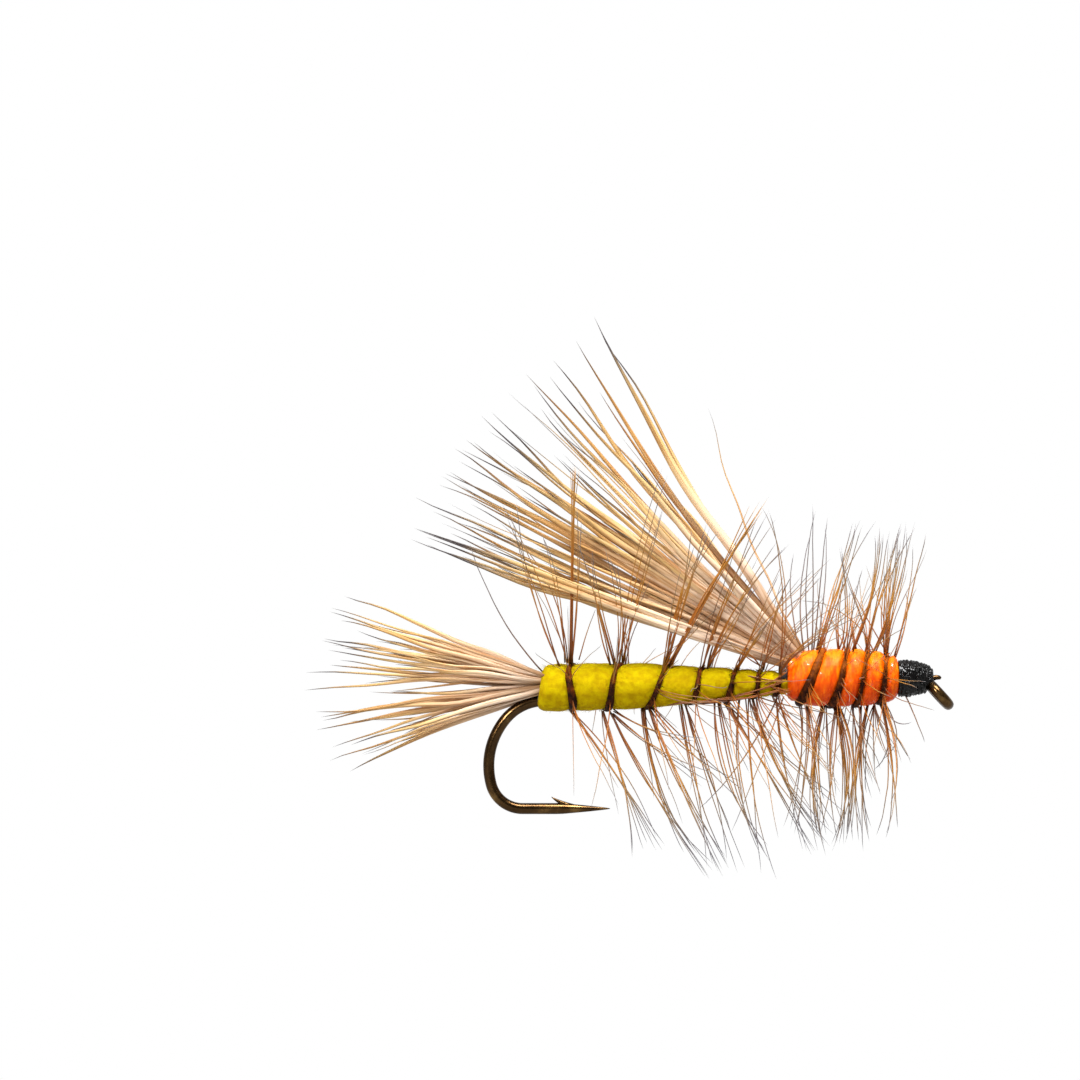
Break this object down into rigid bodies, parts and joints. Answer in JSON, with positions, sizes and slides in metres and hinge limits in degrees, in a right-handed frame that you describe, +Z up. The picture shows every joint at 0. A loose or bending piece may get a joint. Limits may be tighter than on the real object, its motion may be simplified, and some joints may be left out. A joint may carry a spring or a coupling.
{
  "type": "dry fly",
  "caption": "Hair-wing dry fly on a long down-eye hook: hair tail and wing, yarn abdomen and thorax, two wound hackles and a varnished head; it floats to tempt trout.",
  "frame": {"origin": "centre of the wire on the level run below the bend, 1.25 mm ahead of where the bend starts, where a vise or stand grips the hook", "axes": "+X along the hook towards the eye, +Z up from the point to the shank, +Y across the fly to its left side seen from the tail"},
  "size_m": [0.036, 0.0232, 0.0301],
  "materials": {
    "bronzed_wire": "bronzed satin",
    "black_thread": "waxed thread",
    "head_varnish": "clear gloss",
    "deer_hair": "natural hair",
    "yellow_yarn": "matt yarn",
    "orange_yarn": "silky yarn",
    "feather_stem": "horny satin",
    "feather_barb": "silky feather"
  },
  "bodies": {
    "root": {"hook": "bronzed_wire", "thread_base": "black_thread", "tail_lashing": "black_thread", "wing_lashing": "black_thread", "head_thread": "black_thread", "head_varnish": "head_varnish", "tail_butts": "deer_hair", "tail_hair": "deer_hair", "wing_butts": "deer_hair", "wing_hair": "deer_hair", "abdomen_yarn": "yellow_yarn", "thorax_yarn": "orange_yarn", "abdomen_quill": "feather_stem", "thorax_quill": "feather_stem", "abdomen_barbs": "feather_barb", "thorax_barbs": "feather_barb"}
  },
  "joints": []
}
